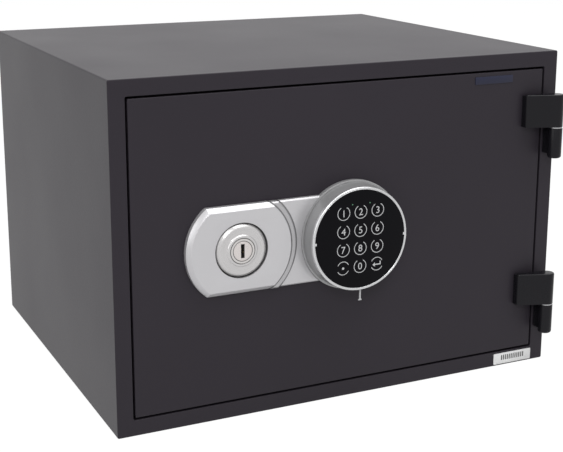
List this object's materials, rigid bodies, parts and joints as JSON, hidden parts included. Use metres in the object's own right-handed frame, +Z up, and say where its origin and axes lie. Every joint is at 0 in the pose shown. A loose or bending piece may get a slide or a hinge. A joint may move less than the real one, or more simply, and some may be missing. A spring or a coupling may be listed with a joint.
{
  "type": "surface-mounted safe",
  "caption": "Fire-resistant home safe: a steel case with one front door on outside hinges, a round keypad dial that draws the bolts, a key lock and a shelf inside.",
  "frame": {"origin": "middle of the underside of the case, the centre of its width and depth", "axes": "+Z up, -Y out through the door, +X towards the hinges, to the right for someone facing the door"},
  "size_m": [0.445, 0.401, 0.31],
  "materials": {
    "case_coat": "fine textured powder coat, satin",
    "hinge_coat": "satin coat",
    "hinge_steel": "turned",
    "liner_coat": "satin coat",
    "fire_fill": "cast, rough",
    "seal_foam": "matte",
    "sleeve_steel": "drawn tube",
    "strike_steel": "plain plate",
    "screw_steel": "zinc plated",
    "plate_silver": "fine blasted, satin",
    "rosette_nickel": "spun nickel",
    "cylinder_nickel": "polished nickel",
    "plug_nickel": "faced nickel",
    "work_zinc": "zinc plated",
    "bolt_steel": "ground bright bar",
    "pinion_steel": "cut steel, oiled",
    "bushing_brass": "turned",
    "dial_grey": "moulded, satin",
    "bezel_bright": "bright plated",
    "dial_glass": "polished black face with printed digits",
    "board_green": "circuit board",
    "tray_grey": "moulded",
    "tab_grey": "moulded, light grey",
    "cell_jacket": "plain jacket",
    "solenoid_zinc": "zinc plated",
    "cable_sheath": "matte",
    "label_white": "satin sticker",
    "badge_navy": "printed foil"
  },
  "bodies": {
    "root": {"outer_case": "case_coat", "back_panel": "case_coat", "door_frame": "case_coat", "lock_strike": "strike_steel", "hinge_strike": "strike_steel", "inner_liner": "liner_coat", "body_insulation": "fire_fill", "anchor_sleeves": "sleeve_steel", "shelf": "liner_coat", "shelf_rails": "liner_coat", "upper_hinge_knuckle": "hinge_coat", "lower_hinge_knuckle": "hinge_coat", "hinge_washers": "hinge_steel", "hinge_pins": "hinge_steel", "rim_label": "label_white"},
    "door": {"bolt_guides": "work_zinc", "cable_tube": "sleeve_steel", "cover_screws": "screw_steel", "cylinder_nut": "screw_steel", "dial_base": "dial_grey", "door_back_cover": "liner_coat", "door_badge": "badge_navy", "door_insulation": "fire_fill", "door_liner": "liner_coat", "door_seal": "seal_foam", "door_skin": "case_coat", "fixed_bolts": "bolt_steel", "front_bushing": "bushing_brass", "guide_posts": "work_zinc", "key_cylinder": "cylinder_nickel", "key_rosette": "rosette_nickel", "key_tail_tube": "sleeve_steel", "lock_cable": "cable_sheath", "lock_plate": "plate_silver", "lower_hinge_block": "hinge_coat", "mechanism_plate": "work_zinc", "plunger_spring": "solenoid_zinc", "rear_bushing": "bushing_brass", "solenoid_case": "solenoid_zinc", "spindle_tube": "sleeve_steel", "upper_hinge_block": "hinge_coat"},
    "dial": {"dial_housing": "dial_grey", "dial_bezel": "bezel_bright", "keypad_board": "board_green", "touch_glass": "dial_glass", "spindle": "bolt_steel", "drive_pinion": "pinion_steel", "spindle_clip": "screw_steel"},
    "bolt_work": {"bolt_bar": "work_zinc", "locking_bolts": "bolt_steel", "bolt_screws": "screw_steel"},
    "key_works": {"key_plug": "plug_nickel", "key_tail_bar": "work_zinc", "key_cam": "work_zinc"},
    "plunger": {"solenoid_plunger": "solenoid_zinc"},
    "battery_drawer": {"battery_tray": "tray_grey", "batteries": "cell_jacket", "pull_tab": "tab_grey"}
  },
  "joints": [
    {"name": "door_swing", "type": "hinge", "parent": "root", "child": "door", "pos_m": [0.215, -0.2022, 0.155], "axis": [0, 0, 1], "range_deg": [0, 180]},
    {"name": "dial_turn", "type": "hinge", "parent": "door", "child": "dial", "pos_m": [0, -0.19, 0.1565], "axis": [0, -1, 0], "range_deg": [0, 90]},
    {"name": "bolt_slide", "type": "slide", "parent": "door", "child": "bolt_work", "axis": [-1, 0, 0], "range_m": [0, 0.02356]},
    {"name": "key_turn", "type": "hinge", "parent": "door", "child": "key_works", "pos_m": [-0.10954, -0.19, 0.1565], "axis": [0, 1, 0], "range_deg": [0, 90]},
    {"name": "plunger_drop", "type": "slide", "parent": "door", "child": "plunger", "axis": [0, 0, -1], "range_m": [0, 0.006], "deforming": ["plunger_spring"]},
    {"name": "battery_slide", "type": "slide", "parent": "dial", "child": "battery_drawer", "axis": [0, 0, -1], "range_m": [0, 0.036]}
  ],
  "couplings": [
    {"joint": "bolt_slide", "follows": "dial_turn", "m_per_rad": 0.015}
  ]
}
